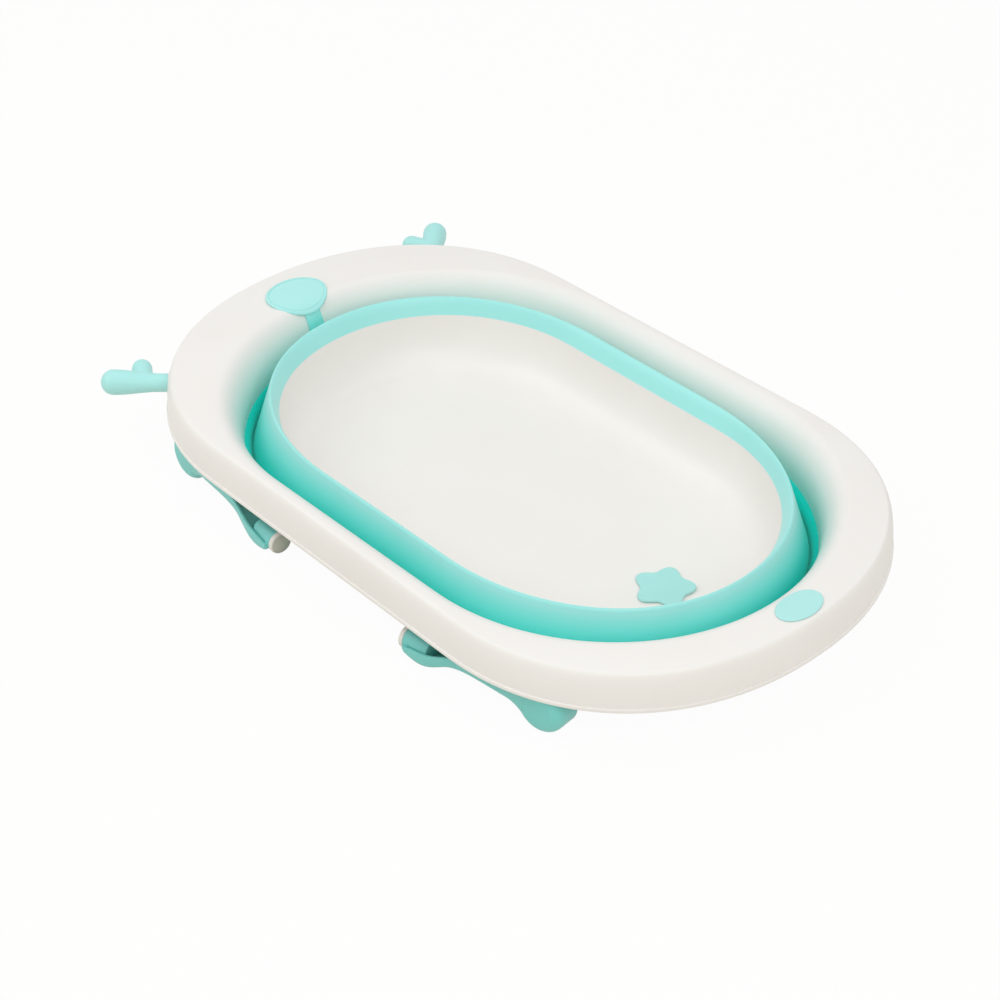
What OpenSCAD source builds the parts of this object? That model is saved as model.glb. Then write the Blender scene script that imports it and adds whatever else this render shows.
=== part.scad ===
// Folding baby bathtub, folded flat. An oval rim carries a soft wall that is folded down inside it,
// a dish-shaped base hangs in the wall, and four legs swing out from under the rim.
// Millimetres. +X runs from the head end to the foot end, +Z is up, z = 0 is the ground.

/* [Rim] */
// Length of the tub over the rim
tub_length = 820; // [780:5:900]
// Width of the tub over the rim, at the middle
tub_width = 500; // [490:5:550]
// How much the half width grows from the middle to the foot end
foot_spread = 4.5; // [0:0.5:6]
// Length of the rounded part at each end of the rim
rim_end = 230; // [215:1:245]
// Height of the rim's lower lip above the ground
lip_height = 46; // [45:0.5:52]
// Height of the rim's crown above its lip
rim_rise = 41; // [39:1:48]
// Wall thickness of the rim shell
rim_wall = 3; // [2:0.25:3.5]
// How far the bead along the lip stands out from the shell
bead_depth = 1.5; // [0.5:0.25:2]
// Height of the bead along the lip
bead_height = 4; // [2:0.5:6]
// Width of the rounded shoulder outside the crown
shoulder_width = 10; // [6:0.5:11]
// Width of the rim at the head end
head_deck = 96; // [90:1:104]
// Width of the rim at the foot end
foot_deck = 67.5; // [64:0.5:76]
// Width of the rim along the sides
side_deck = 40; // [39:0.5:44]
// Width of the roll between the deck and the hem
roll_width = 27; // [18:0.5:27.5]
// Length of the rounded part at each end of the hem
hem_end = 210; // [200:1:220]
// Drop from the crown to the hem where the soft wall starts
hem_drop = 53; // [48:1:57]
// Thickness of the ribs under the rim
rib_thickness = 2.5; // [1.5:0.25:4]
// How far the ribs reach down from the crown
rib_depth = 14; // [8:1:18]

/* [Soft wall] */
// Thickness of the soft wall
wall_thickness = 2.5; // [1.5:0.25:3]
// Height of the fold at the bottom of the folded wall
fold_height = 18; // [14:0.5:22]
// Height of the round part of the fold
fold_rise = 5; // [4:0.5:7]
// Gap between the hem and the crest of the basin at the head end
head_gap = 24.5; // [20:0.5:32]
// Gap between the hem and the crest of the basin at the foot end
foot_gap = 25.5; // [22:0.5:34]
// Gap between the hem and the crest of the basin along the sides
side_gap = 24; // [18:0.5:30]
// Length of the rounded part at each end of the crest
crest_end = 218; // [208:1:228]
// How far the crest lies below the crown
crest_drop = 3; // [2:0.5:8]
// Height of the cuff over which the band is moulded
cuff_drop = 6; // [4:0.5:8]
// Height of the soft band inside the crest
band_height = 18.5; // [14:0.5:22]
// Width of the soft band inside the crest, seen from above
band_width = 12; // [9:0.5:14]
// Length of the rounded part at each end of the band's inner edge
band_end = 184; // [174:1:194]

/* [Base] */
// Height of the floor above the ground
floor_height = 8; // [7:0.5:12]
// Thickness of the base panel
base_wall = 3; // [2:0.25:4]
// Width of the curved side between the band and the flat floor
side_width = 36; // [26:1:44]
// Diameter of the drain hole
drain_bore = 30; // [20:1:36]
// Distance of the drain from the foot end
drain_inset = 194; // [188:1:220]
// Depth of the collar under the drain hole
collar_depth = 3; // [2:0.25:4]
// Wall of the collar under the drain hole
collar_wall = 4; // [3:0.25:5]

/* [Drain plug] */
// Radius of the star's points
star_points = 31.5; // [28:0.5:36]
// Radius of the star between its points
star_valleys = 23.5; // [19.5:0.5:24]
// Thickness of the star
star_thickness = 3.5; // [3:0.5:6]
// Turn of the star on the floor, in degrees
star_turn = 48; // [0:1:71]
// Clearance of the plug in the drain hole
plug_clearance = 0.3; // [0.1:0.05:0.5]
// Length of the spigot under the star
spigot_length = 5; // [3:0.5:5.5]

/* [Nose pad and badge] */
// Length of the nose pad along the tub
nose_length = 58; // [48:1:60]
// Width of the nose pad across the tub
nose_width = 74; // [56:1:80]
// Distance of the nose pad's middle from the hem
nose_gap = 34.5; // [33:0.5:37]
// Height of the nose pad above the rim
nose_height = 3; // [2:0.25:5]
// Width of the strap from the nose pad to the soft wall
strap_width = 20; // [12:1:24]
// Length of the badge along the tub
badge_length = 34; // [28:1:36]
// Width of the badge across the tub
badge_width = 55; // [46:1:66]
// Distance of the badge's middle from the hem
badge_gap = 38.5; // [36:0.5:40]
// Height of the badge above the rim
badge_height = 1.2; // [0.8:0.1:2]
// Clearance under the pads that lie on the rim
pad_seat = 0.6; // [0.5:0.05:0.8]

/* [Antlers] */
// Direction of each antler, in degrees from the long axis
antler_angle = 46; // [42:1:50]
// Height of the antlers above the lip
antler_rise = 16; // [15:0.5:20]
// Length of an antler outside the rim
antler_length = 71; // [56:1:74]
// Distance from the rim at which an antler starts to swell
antler_neck = 8; // [5:0.5:10]
// Radius of an antler where it leaves the rim
antler_root = 10; // [8:0.25:11]
// Radius of an antler at its tip
antler_tip = 13.75; // [12:0.25:15]
// Distance of the bud from the rim
bud_place = 24; // [18:0.5:28]
// Radius of the bud on an antler
bud_radius = 11; // [8:0.25:11.5]
// Reach of the bud from the antler's axis
bud_reach = 26; // [20:0.5:28]
// Length of the socket behind the rim's shell
socket_length = 20; // [18:0.5:24]
// Wall of the socket
socket_wall = 3; // [2:0.25:4]
// Clearance of an antler in its socket
antler_clearance = 0.25; // [0.1:0.05:0.4]
// Thickness of the washer behind the socket
washer_thickness = 1.5; // [1:0.25:2]

/* [Legs] */
// Distance of the head hinges from the head end
head_hinge = 152; // [148:1:158]
// Distance of the foot hinges from the foot end
foot_hinge = 139.5; // [136:0.5:146]
// Distance of a leg's outer face from the side of the tub, at its hinge
leg_inset = 22; // [20:0.5:24]
// Angle of each leg from the long axis
leg_angle = 6; // [5:0.25:7]
// Length of a leg from its hinge to the end of its foot
leg_length = 170; // [162:1:180]
// Width of a leg
leg_width = 24; // [20:0.5:25]
// Width of the hub at the hinge
hub_width = 30; // [26:0.5:32]
// Height of the hinge axis above the ground
hinge_height = 26; // [24:0.5:26]
// Radius of the hub at the hinge
hub_radius = 26.4; // [26.2:0.1:27]
// Radius of the hub's outer edge
hub_edge = 11; // [6:0.5:12]
// Height of the underside of a leg behind its hub
neck_rise = 20.5; // [18:0.5:24]
// Height of the top of a leg above the rim's lip
arm_rise = 4; // [0:0.5:5]
// Height of the channel's walls beside the foot
tray_rise = 16; // [12:0.5:20]
// How far the channel ends before the foot socket
tray_set = 6; // [4:0.5:16]
// Wall thickness of the leg channel
leg_wall = 3; // [2:0.25:4]
// Height of the foot above the ground
sole_height = 1; // [0.5:0.25:2]
// Radius of the foot
foot_radius = 12.5; // [11:0.25:13]
// Length of the foot socket
foot_length = 34; // [28:1:40]
// Thickness of the foot pad outside its socket
pad_thickness = 5; // [3:0.5:8]
// Radius of the foot pad's outer edge
pad_edge = 1.5; // [0.5:0.25:2]
// Radius of the spigot that holds the foot pad
pad_spigot = 8; // [6:0.25:9]
// Length of the spigot that holds the foot pad
pad_reach = 11.5; // [8:0.5:14]
// Radius of the hinge pin
pin_radius = 4; // [3:0.25:5]
// Thickness of the hinge pin's head
pin_head = 2; // [1:0.25:3]
// Running clearance of the hinge pin
pin_clearance = 0.05; // [0.02:0.01:0.09]
// Thickness of the bracket's cheek beside the hub
cheek_thickness = 8; // [6:0.5:9]
// Clearance between the hub and the bracket's cheek
cheek_clearance = 0.3; // [0.2:0.05:0.5]
// Radius of the cheek round the pin
cheek_radius = 11; // [9:0.25:12]
// Half width of the cheek between the pin and the plate
cheek_neck = 9; // [6:0.25:10]
// Thickness of the bracket's plate
plate_thickness = 4; // [3:0.25:5]
// Width of the bracket's plate
plate_width = 12; // [10:0.5:13]
// How far the bracket's plate lies below the crown
plate_depth = 21; // [19:0.5:25]
// Distance of the bracket screws from the hinge
screw_spread = 13; // [12:0.5:13.5]
// Radius of the screws
screw_radius = 2; // [1.5:0.1:2.25]
// Clearance of the screws in their holes
screw_play = 0.2; // [0.1:0.05:0.3]
// How far the bracket screws reach into the rim
screw_reach = 6; // [4:0.5:8]
// Thickness of the screw heads
screw_head = 2; // [1.5:0.25:3]
// Wall of the screw bosses under the rim
boss_wall = 3; // [2:0.25:4]

/* [Hidden] */
n_end = 12;
n_side = 3;
n_quarter = n_end + n_side;
n_ring = 4 * n_quarter;
shoulder_steps = 6;
roll_steps = 6;
shell_color = "#F1EFEA";
soft_color = "#86DDD5";
leg_color = "#7FD2CB";
steel_color = "#B9BCC0";

// Heights that follow from the driving sizes
crown_z = lip_height + rim_rise;
hem_z = crown_z - hem_drop;
crest_z = crown_z - crest_drop;
edge_z = crest_z - band_height;
cuff_z = crest_z - cuff_drop;
skin_z = lip_height + bead_height + 1;
antler_z = lip_height + antler_rise;
plate_z = crown_z - plate_depth;
arm_z = lip_height + arm_rise;
foot_z = sole_height + foot_radius;

// Places along the tub and across a leg that follow from the driving sizes
drain_x = tub_length / 2 - drain_inset;
nose_x = head_deck - nose_gap - tub_length / 2;
badge_x = tub_length / 2 - foot_deck + badge_gap;
hinge_side = tub_width / 2 - leg_inset - leg_width / 2;
hub_face = leg_width / 2 - hub_width;
cheek_face = hub_face - cheek_clearance;
cheek_back = cheek_face - cheek_thickness;

// Outlines seen from above: half length, half width, length of the round end, roundness, shift in X
// and growth of the half width towards the foot end
rim_ring = [tub_length / 2, tub_width / 2, rim_end, 2.15, 0, foot_spread];
hem_ring = [(tub_length - head_deck - foot_deck) / 2, tub_width / 2 - side_deck, hem_end, 2.03,
    (head_deck - foot_deck) / 2, 0];
crest_ring = [hem_ring[0] - (head_gap + foot_gap) / 2, hem_ring[1] - side_gap, crest_end, 2.09,
    hem_ring[4] + (head_gap - foot_gap) / 2, 0];
edge_ring = [crest_ring[0] - band_width, crest_ring[1] - band_width, band_end, 2.06, crest_ring[4], 0];

// Squareness of the outer shoulder and of the basin side
shoulder_power = 2.2;
side_power = 2.5;

function mix(a, b, t) = a + (b - a) * t;
function inset_ring(r, d) = [r[0] - d, r[1] - d, r[2] - d, r[3], r[4], r[5]];

// Places across the tub, from the rim inwards, and the outline at place s, drawn in by d millimetres
rim = 0;
crown = 1;
roll = 2;
hem = 3;
crest = 4;
edge = 5;
rings = [rim_ring, inset_ring(rim_ring, shoulder_width), inset_ring(hem_ring, -roll_width), hem_ring, crest_ring,
    edge_ring, inset_ring(edge_ring, side_width)];
function ring_at(s, d) =
    let (k = min(floor(s), len(rings) - 2))
    inset_ring(mix(rings[k], rings[k + 1], s - k), d);
function spread(r, x) = 1 + r[5] / r[1] * x / r[0];

// One point on a quarter of an outline, from the tip of the round end to the middle of the side
function quarter_point(r, j) =
    j <= n_end
    ? [r[0] - r[2] + r[2] * pow(cos(90 * j / n_end), 2 / r[3]), r[1] * pow(sin(90 * j / n_end), 2 / r[3])]
    : [(r[0] - r[2]) * (n_quarter - j) / n_side, r[1]];

function ring_point(r, i, z) =
    let (q = floor(i / n_quarter), j = i % n_quarter)
    let (p = quarter_point(r, q % 2 == 0 ? j : n_quarter - j), x = (q == 0 || q == 3 ? 1 : -1) * p[0])
    [x + r[4], (q < 2 ? 1 : -1) * p[1] * spread(r, x), z];

function station(p) = [for (i = [0 : n_ring - 1]) ring_point(ring_at(p[0], p[1]), i, p[2])];
function stations(path) = [for (p = path) station(p)];
function centre(ring) = [for (p = ring) 1] * ring / len(ring);

// Solid skinned over a list of rings, either closed into a tube or capped at both ends.
// Each patch is split along its shorter diagonal, so that neighbours that share rings match.
module skin(loops, closed) {
    n = len(loops[0]);
    m = len(loops);
    points = concat([for (loop = loops) each loop], closed ? [] : [centre(loops[0]), centre(loops[m - 1])]);
    last = closed ? m - 1 : m - 2;
    sides = [for (k = [0 : last], i = [0 : n - 1])
        let (a = k * n + i, b = k * n + (i + 1) % n)
        let (c = ((k + 1) % m) * n + (i + 1) % n, d = ((k + 1) % m) * n + i)
        each norm(points[a] - points[c]) < norm(points[b] - points[d])
            ? [[a, d, c], [a, c, b]]
            : [[a, d, b], [b, d, c]]];
    caps = closed ? [] : [for (i = [0 : n - 1])
        let (j = (i + 1) % n)
        each [[m * n, i, j], [m * n + 1, (m - 1) * n + j, (m - 1) * n + i]]];
    polyhedron(points, concat(sides, caps), convexity = 6);
}

// Section of the rim: outer skin from the lip over the crown to the hem, set in by depth
function shoulder_point(k, depth) =
    let (angle = 90 * k / shoulder_steps)
    let (across = 1 - pow(cos(angle), 2 / shoulder_power), up = pow(sin(angle), 2 / shoulder_power))
    [mix(rim, crown, across), bead_depth * (1 - across) + depth * cos(angle),
        mix(skin_z, crown_z, up) - depth * sin(angle)];
function roll_point(k, depth) =
    let (angle = 90 * k / roll_steps)
    [mix(roll, hem, sin(angle)), -depth * sin(angle), mix(hem_z, crown_z, cos(angle)) - depth * cos(angle)];
function rim_skin(depth) = concat(
    [[rim, bead_depth + depth, lip_height]],
    [for (k = [0 : shoulder_steps]) shoulder_point(k, depth)],
    [for (k = [0 : roll_steps]) roll_point(k, depth)]);
function reversed(list) = [for (k = [len(list) - 1 : -1 : 0]) list[k]];
rim_section = concat(
    [[rim, 0, lip_height], [rim, 0, lip_height + bead_height]],
    [for (k = [1 : len(rim_skin(0)) - 1]) rim_skin(0)[k]],
    reversed(rim_skin(rim_wall)));

// Section of the soft wall: down from the hem, round the fold and up to the crest
fold_z = fold_height + fold_rise;
fold_at = mix(hem, crest, 0.25);
fold_half = 0.1;
cuff_at = mix(hem, crest, 0.9);
wall_down = [[hem, hem_z], [mix(hem, crest, 0.08), mix(hem_z, fold_z, 0.3)],
    [mix(hem, crest, 0.13), mix(hem_z, fold_z, 0.7)]];
wall_up = [[mix(hem, crest, 0.5), mix(fold_z, cuff_z, 0.32)],
    [mix(hem, crest, 0.74), mix(fold_z, cuff_z, 0.7)], [cuff_at, cuff_z]];
function wall_path(depth) = concat(
    [for (p = wall_down) [p[0], -depth, p[1]]],
    [for (a = [0 : 45 : 180]) [fold_at - fold_half * cos(a), -depth * cos(a),
        mix(fold_z, fold_height, sin(a)) - depth * sin(a)]],
    [for (p = wall_up) [p[0], depth, p[1]]]);
wall_section = concat(wall_path(0), reversed(wall_path(wall_thickness)));

// Section of the band over the crest: place, height and the direction its thickness takes
band_line = [
    [cuff_at, cuff_z, 1, 0], [cuff_at + 0.01, mix(crest_z, cuff_z, 0.42), 0.9, 0.4],
    [cuff_at + 0.05, mix(crest_z, cuff_z, 0.12), 0.5, 0.87], [crest + 0.04, crest_z, 0, 1],
    [crest + 0.25, mix(crest_z, edge_z, 0.1), -0.6, 0.8], [crest + 0.5, mix(crest_z, edge_z, 0.33), -0.84, 0.54],
    [crest + 0.75, mix(crest_z, edge_z, 0.66), -0.84, 0.54], [edge, edge_z, -0.84, 0.54]];
function band_path(depth) = [for (p = band_line) [p[0], depth * p[2], p[1] - depth * p[3]]];
band_section = concat(band_path(0), reversed(band_path(wall_thickness)));

// Section of the base: up the outside of the dish, over the flange under the band, down to the floor
side_steps = 6;
function side_point(k, depth) =
    let (angle = 90 * k / side_steps)
    [edge + 1 - pow(cos(angle), 2 / side_power), -depth * cos(angle),
        mix(edge_z, floor_height, pow(sin(angle), 2 / side_power)) - depth * sin(angle)];
base_section = concat(
    [for (k = [side_steps : -1 : 1]) side_point(k, base_wall)],
    [[edge, -base_wall, edge_z - base_wall], [cuff_at, wall_thickness, cuff_z - base_wall]],
    band_path(wall_thickness),
    [for (k = [0 : side_steps]) side_point(k, 0)]);

// Place across the rim of a point seen from above, and the height of the rim there
function outside(r, x, y) =
    pow(max(0, abs(x - r[4]) - r[0] + r[2]) / r[2], r[3]) + pow(abs(y) / r[1] / spread(r, x - r[4]), r[3]) > 1;
function place_of(x, y, low = rim, high = hem, tries = 16) =
    let (half = (low + high) / 2)
    tries == 0 ? half
    : outside(ring_at(half, 0), x, y) ? place_of(x, y, low, half, tries - 1)
    : place_of(x, y, half, high, tries - 1);
function rim_top(s) =
    s < crown ? mix(skin_z, crown_z, pow(1 - pow(1 - s, shoulder_power), 1 / shoulder_power))
    : s < roll ? crown_z
    : mix(hem_z, crown_z, sqrt(max(0, 1 - pow(s - roll, 2))));
function rim_height(x, y) = rim_top(place_of(x, y));
function rim_slope(x, y) = rim_height(x + 0.5, y) - rim_height(x - 0.5, y);

// Where the antlers leave the rim
antler_far = [for (t = [0 : 0.5 : 90]) [t, abs(atan2(
    pow(sin(t), 2 - 2 / rim_ring[3]) / rim_ring[1], pow(cos(t), 2 - 2 / rim_ring[3]) / rim_ring[2]) - antler_angle)]];
antler_turn = [for (row = antler_far) if (row[1] == min([for (other = antler_far) other[1]])) row[0]][0];
antler_x = -(rim_ring[0] - rim_ring[2] + rim_ring[2] * pow(cos(antler_turn), 2 / rim_ring[3]));
antler_y = rim_ring[1] * pow(sin(antler_turn), 2 / rim_ring[3]) * spread(rim_ring, antler_x);

// Moves a shape drawn along +Z onto an antler's axis: side is 1 at the left, -1 at the right
module at_antler(side) {
    translate([antler_x, side * antler_y, antler_z])
        rotate([0, 0, side * (180 - antler_angle)])
            rotate([0, 90, 0])
                children();
}

// Moves a leg drawn from its hinge along +X, with +Y outwards, to one of the four corners
module at_leg(end, side) {
    mirror([end > 0 ? 0 : 1, 0, 0])
        mirror([0, side > 0 ? 1 : 0, 0])
            translate([tub_length / 2 - (end > 0 ? foot_hinge : head_hinge), -hinge_side, 0])
                rotate([0, 0, 180 + leg_angle])
                    children();
}

module each_leg() {
    for (end = [-1, 1], side = [-1, 1])
        at_leg(end, side) children();
}

// Rim: one moulded shell, open below, with ribs, screw bosses and antler sockets inside
module rim_shell() {
    color(shell_color)
    difference() {
        union() {
            skin(stations(rim_section), true);
            intersection() {
                skin(stations(rim_skin(rim_wall / 3)), true);
                union() {
                    rim_ribs();
                    each_leg() bracket_bosses();
                    for (side = [-1, 1])
                        at_antler(side)
                            translate([0, 0, -socket_length])
                                cylinder(h = socket_length + 2, r = antler_root + socket_wall, $fn = 24);
                }
            }
        }
        each_leg()
            for (way = [-1, 1])
                translate([way * screw_spread, 0, plate_z - 1])
                    cylinder(h = screw_reach + 2, r = screw_radius + screw_play, $fn = 10);
        for (side = [-1, 1])
            at_antler(side)
                translate([0, 0, -socket_length - 1])
                    cylinder(h = 2 * socket_length, r = antler_root + antler_clearance, $fn = 24);
    }
}

module rim_ribs() {
    for (i = [2 : 3 : n_quarter - 1], corner = [i, n_ring / 2 - i, n_ring / 2 + i, n_ring - i]) {
        outer = ring_point(ring_at(rim, 0), corner, crown_z - rib_depth);
        across = ring_point(ring_at(hem, 0), corner, crown_z - rib_depth) - outer;
        translate(outer)
            rotate([0, 0, atan2(across[1], across[0])])
                translate([0, -rib_thickness / 2, 0])
                    cube([norm(across), rib_thickness, rib_depth]);
    }
}

module bracket_bosses() {
    for (way = [-1, 1])
        translate([way * screw_spread, 0, plate_z])
            cylinder(h = rim_rise, r = screw_radius + boss_wall, $fn = 12);
}

// Soft wall: one fold between the rim's hem and the crest of the basin
module folding_wall() {
    color(soft_color)
    skin(stations(wall_section), true);
}

// Band: soft skin moulded over the base's upper edge
module crest_band() {
    color(soft_color)
    skin(stations(band_section), true);
}

// Base: a deep dish with a drain hole and a collar under it
module base_panel() {
    color(shell_color)
    difference() {
        union() {
            skin(stations(base_section), false);
            translate([drain_x, 0, floor_height - base_wall - collar_depth])
                cylinder(h = collar_depth + base_wall / 2, r = drain_bore / 2 + collar_wall, $fn = 48);
        }
        translate([drain_x, 0, -1])
            cylinder(h = floor_height + 2, d = drain_bore, $fn = 48);
    }
}

// Plug: a star with rounded points on a spigot that fills the drain hole
function star_radius(angle) =
    (star_points + star_valleys) / 2 + (star_points - star_valleys) / 2 * cos(5 * angle);
module drain_plug() {
    color(soft_color)
    translate([drain_x, 0, floor_height]) {
        linear_extrude(star_thickness)
            polygon([for (angle = [0 : 6 : 354])
                star_radius(angle) * [cos(angle + star_turn), sin(angle + star_turn)]]);
        translate([0, 0, -spigot_length])
            cylinder(h = spigot_length + star_thickness / 2, r = drain_bore / 2 - plug_clearance, $fn = 48);
    }
}

// Oval pad that follows the rim, lifted square to it: centre, half sizes and height of its domed top
pad_sides = 36;
function pad_ring(at, half, share, lift) = [for (i = [0 : pad_sides - 1])
    let (x = at + half[0] * share * cos(360 * i / pad_sides), y = half[1] * share * sin(360 * i / pad_sides))
    [x, y, rim_height(x, y) + lift * norm([1, rim_slope(x, y)])]];
module oval_pad(at, half, lift) {
    skin(concat(
        [for (share = [0.3, 0.5, 0.65, 0.78, 0.9, 1]) pad_ring(at, half, share, pad_seat)],
        [pad_ring(at, half, 1, pad_seat + lift * 0.45)],
        [for (share = [0.97, 0.9, 0.78, 0.65, 0.5, 0.3])
            pad_ring(at, half, share, pad_seat + lift * (1 - pow(share, 6) * 0.35))]),
        false);
}

// Nose pad: a soft oval on the head end, with the strap that joins it to the soft wall
function strap_point(s, y, lift) =
    let (q = s - roll, r = ring_at(s, lift * q))
    [r[4] - r[0] + r[2] - r[2] * pow(1 - pow(abs(y) / r[1], r[3]), 1 / r[3]), y,
        rim_top(s) + lift * sqrt(max(0, 1 - q * q))];
function strap_ring(s) = concat(
    [for (t = [-0.5, 0, 0.5]) strap_point(s, t * strap_width, pad_seat)],
    [for (t = [0.5, 0, -0.5]) strap_point(s, t * strap_width, pad_seat + nose_height / 2)]);
module nose_pad() {
    color(soft_color) {
        oval_pad(nose_x, [nose_length, nose_width] / 2, nose_height);
        skin([for (t = [0.4, 0.6, 0.75, 0.88, 0.96, 1]) strap_ring(mix(roll, hem, t))], false);
    }
}

// Badge: a plain oval plate on the foot end
module badge_plate() {
    color(soft_color)
    oval_pad(badge_x, [badge_length, badge_width] / 2, badge_height);
}

// Antler: a round stem that swells towards its tip, with a bud on the side towards the head end
function stem_radius(t) = mix(antler_root, antler_tip, t * t * (3 - 2 * t));
stem_reach = antler_length - antler_tip;
module antler(side) {
    at_antler(side) {
        difference() {
            rotate_extrude($fn = 48)
                polygon(concat(
                    [[0, -socket_length], [antler_root, -socket_length]],
                    [for (t = [0 : 0.125 : 1]) [stem_radius(t), mix(antler_neck, stem_reach, t)]],
                    [for (a = [15 : 15 : 75]) [antler_tip * cos(a), stem_reach + antler_tip * sin(a)]],
                    [[0, antler_length]]));
            translate([0, 0, -socket_length - 1])
                cylinder(h = socket_length, r = screw_radius, $fn = 24);
        }
        translate([0, 0, bud_place])
            rotate([-side * 75, 0, 0])
                rotate_extrude($fn = 48)
                    polygon(concat(
                        [[0, 0], [bud_radius * 0.85, 0]],
                        [for (a = [0 : 15 : 75]) [bud_radius * cos(a), bud_reach + bud_radius * sin(a)]],
                        [[0, bud_reach + bud_radius]]));
    }
}
module antler_left() {
    color(soft_color) antler(1);
}
module antler_right() {
    color(soft_color) antler(-1);
}

// Screws with a washer head that draw each antler into its socket
module antler_screws() {
    color(steel_color)
    for (side = [-1, 1])
        at_antler(side)
            translate([0, 0, -socket_length]) {
                cylinder(h = socket_length - 2, r = screw_radius, $fn = 24);
                translate([0, 0, -washer_thickness])
                    cylinder(h = washer_thickness, r = antler_root + socket_wall - 1, $fn = 32);
                translate([0, 0, -washer_thickness - screw_head])
                    cylinder(h = washer_thickness + screw_head, r = 2 * screw_radius, $fn = 24);
            }
}

// Smooth curve through a list of points
function curve_point(a, b, c, d, t) =
    0.5 * (2 * b + (c - a) * t + (2 * a - 5 * b + 4 * c - d) * t * t + (3 * b - a - 3 * c + d) * t * t * t);
function curve(p, steps = 4) = concat(
    [for (k = [0 : len(p) - 2], j = [0 : steps - 1])
        curve_point(p[max(k - 1, 0)], p[k], p[k + 1], p[min(k + 2, len(p) - 1)], j / steps)],
    [p[len(p) - 1]]);

// Side view of a leg: its lower edge from the hub to the foot, and its upper edge
pad_at = leg_length - pad_thickness;
tray_end = pad_at - tray_set;
pocket_from = hub_radius + leg_wall;
pocket_to = pad_at - foot_length;
leg_under = curve([[hub_radius * 0.6, hinge_height - hub_radius * 0.7], [hub_radius * 0.95, neck_rise * 0.72],
    [hub_radius * 1.4, neck_rise * 0.95], [leg_length * 0.33, neck_rise], [leg_length * 0.5, neck_rise * 0.98],
    [leg_length * 0.62, neck_rise * 0.78], [leg_length * 0.7, neck_rise * 0.45],
    [leg_length * 0.77, sole_height * 3.5], [leg_length * 0.84, sole_height],
    [tray_end - leg_wall, sole_height + leg_wall], [tray_end, tray_rise * 0.7]]);
leg_over = curve([[hub_radius * 0.6, arm_z - 2], [leg_length * 0.3, arm_z], [leg_length * 0.42, arm_z * 0.92],
    [leg_length * 0.54, mix(tray_rise, arm_z, 0.56)], [leg_length * 0.64, mix(tray_rise, arm_z, 0.33)],
    [leg_length * 0.74, mix(tray_rise, arm_z, 0.12)], [leg_length * 0.82, tray_rise], [tray_end, tray_rise]]);

// Leg: a channel that is open upwards, with a round hub at its hinge and a socket for its foot pad
module leg() {
    color(leg_color)
    difference() {
        union() {
            hub();
            across_leg(-leg_width / 2, leg_width / 2)
                polygon(concat(leg_under, reversed(leg_over)));
            along_leg(pocket_to, foot_length)
                circle(r = foot_radius, $fn = 48);
        }
        leg_pocket();
        hinge_axis(hub_face - 1, leg_width / 2 - leg_wall)
            circle(r = pin_radius + pin_clearance, $fn = 48);
        along_leg(pad_at - pad_reach - 0.5, pad_reach + 1)
            circle(r = pad_spigot + 0.1, $fn = 48);
        translate([-leg_length, -hub_width, -2 * hub_width])
            cube([3 * leg_length, 2 * hub_width, 2 * hub_width]);
    }
}

// Extrudes a side view across the leg, a round section along the foot, and a circle along the hinge axis
module across_leg(from, to) {
    translate([0, to, 0])
        rotate([90, 0, 0])
            linear_extrude(to - from)
                children();
}
module along_leg(from, length) {
    translate([from, 0, foot_z])
        rotate([0, 90, 0])
            linear_extrude(length)
                children();
}
module hinge_axis(from, to) {
    across_leg(from, to)
        translate([0, hinge_height])
            children();
}

module hub() {
    translate([0, leg_width / 2, hinge_height])
        rotate([90, 0, 0])
            rotate_extrude($fn = 72)
                polygon(concat(
                    [[0, 0]],
                    [for (a = [0 : 15 : 90]) [hub_radius - hub_edge + hub_edge * sin(a), hub_edge * (1 - cos(a))]],
                    [[hub_radius, hub_width - leg_wall / 2], [hub_radius - leg_wall / 2, hub_width],
                        [0, hub_width]]));
}

// Hollow of the channel between the hub and the foot
module leg_pocket() {
    floor_line = [for (p = leg_under) if (p[0] > pocket_from && p[0] < pocket_to) p + [0, leg_wall]];
    across_leg(leg_wall - leg_width / 2, leg_width / 2 - leg_wall)
        polygon(concat(
            [[pocket_from, floor_line[0][1]]], floor_line,
            [[pocket_to, floor_line[len(floor_line) - 1][1]], [pocket_to, 2 * arm_z], [pocket_from, 2 * arm_z]]));
}

// Bracket: a plate under the rim, over the hub, with a cheek beside the hub that holds the hinge pin
module bracket() {
    color(shell_color)
    difference() {
        union() {
            translate([0, 0, plate_z - plate_thickness])
                linear_extrude(plate_thickness) {
                    for (way = [-1, 1])
                        translate([way * screw_spread, 0])
                            circle(r = plate_width / 2, $fn = 48);
                    square([2 * screw_spread, plate_width], center = true);
                    translate([-cheek_neck, cheek_back])
                        square([2 * cheek_neck, -cheek_back]);
                }
            across_leg(cheek_back, cheek_face) {
                translate([0, hinge_height])
                    circle(r = cheek_radius, $fn = 48);
                translate([-cheek_neck, hinge_height])
                    square([2 * cheek_neck, plate_z - plate_thickness / 2 - hinge_height]);
            }
        }
        hinge_axis(cheek_back - 1, cheek_face + 1)
            circle(r = pin_radius + pin_clearance, $fn = 48);
        for (way = [-1, 1])
            translate([way * screw_spread, 0, plate_z - plate_thickness - 1])
                cylinder(h = plate_thickness + 2, r = screw_radius + screw_play, $fn = 24);
    }
}

// Hinge pin, pushed through the cheek into the hub, with a head behind the cheek
module pin() {
    color(steel_color) {
        hinge_axis(cheek_back, leg_width / 2 - leg_wall - 0.5)
            circle(r = pin_radius, $fn = 48);
        hinge_axis(cheek_back - pin_head, cheek_back)
            circle(r = 1.6 * pin_radius, $fn = 48);
    }
}

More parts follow.
